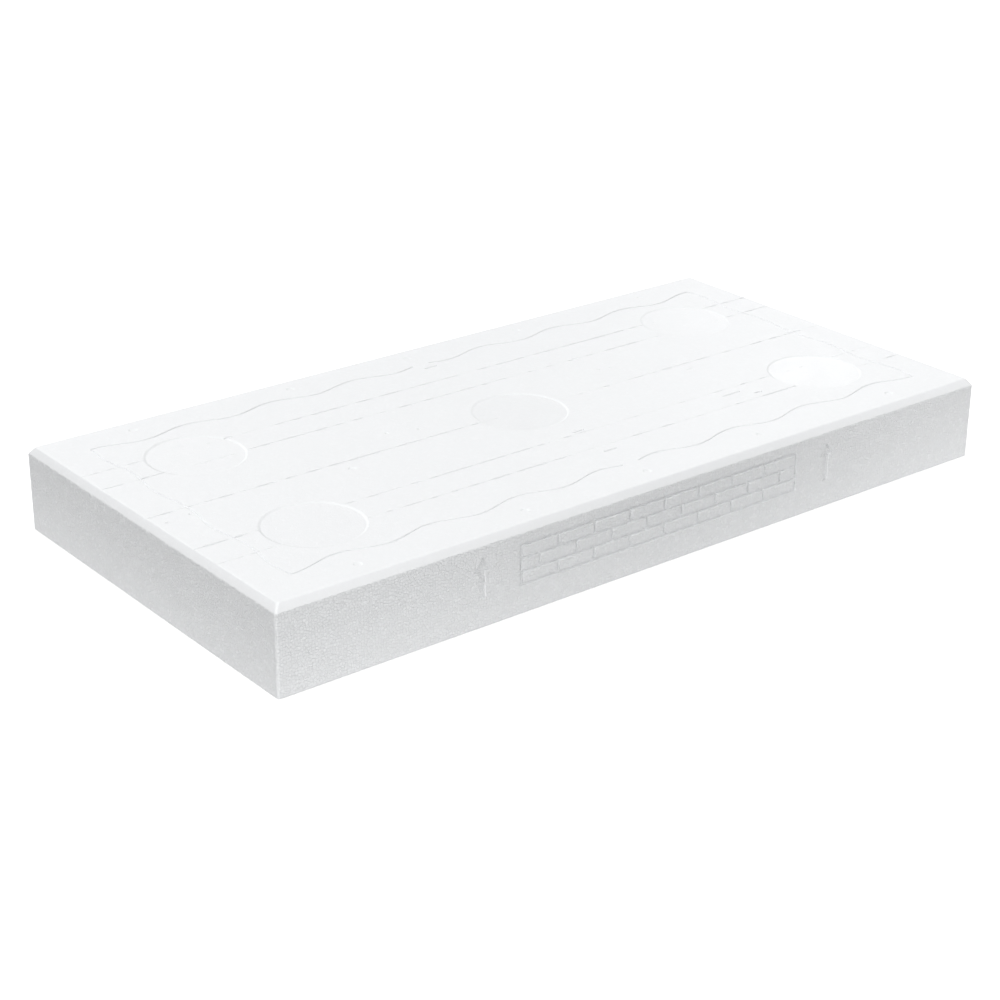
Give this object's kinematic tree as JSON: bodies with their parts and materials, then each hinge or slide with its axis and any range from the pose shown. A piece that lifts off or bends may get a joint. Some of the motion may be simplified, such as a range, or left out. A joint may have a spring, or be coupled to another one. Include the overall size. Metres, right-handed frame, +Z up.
{
  "type": "eps insulation board",
  "caption": "Moulded rigid foam wall insulation board with a bevelled rim, keying grooves, round anchor seats on its top face and sunk arrows on one long side.",
  "frame": {"origin": "centre of the underside of the board as it lies flat", "axes": "+X along the length, +Y across the width away from the marked long side, +Z up out of the grooved face"},
  "size_m": [1, 0.5, 0.1],
  "materials": {
    "eps_foam": "matt white foam with a fine bead grain"
  },
  "bodies": {
    "root": {"eps_board": "eps_foam"}
  },
  "joints": []
}
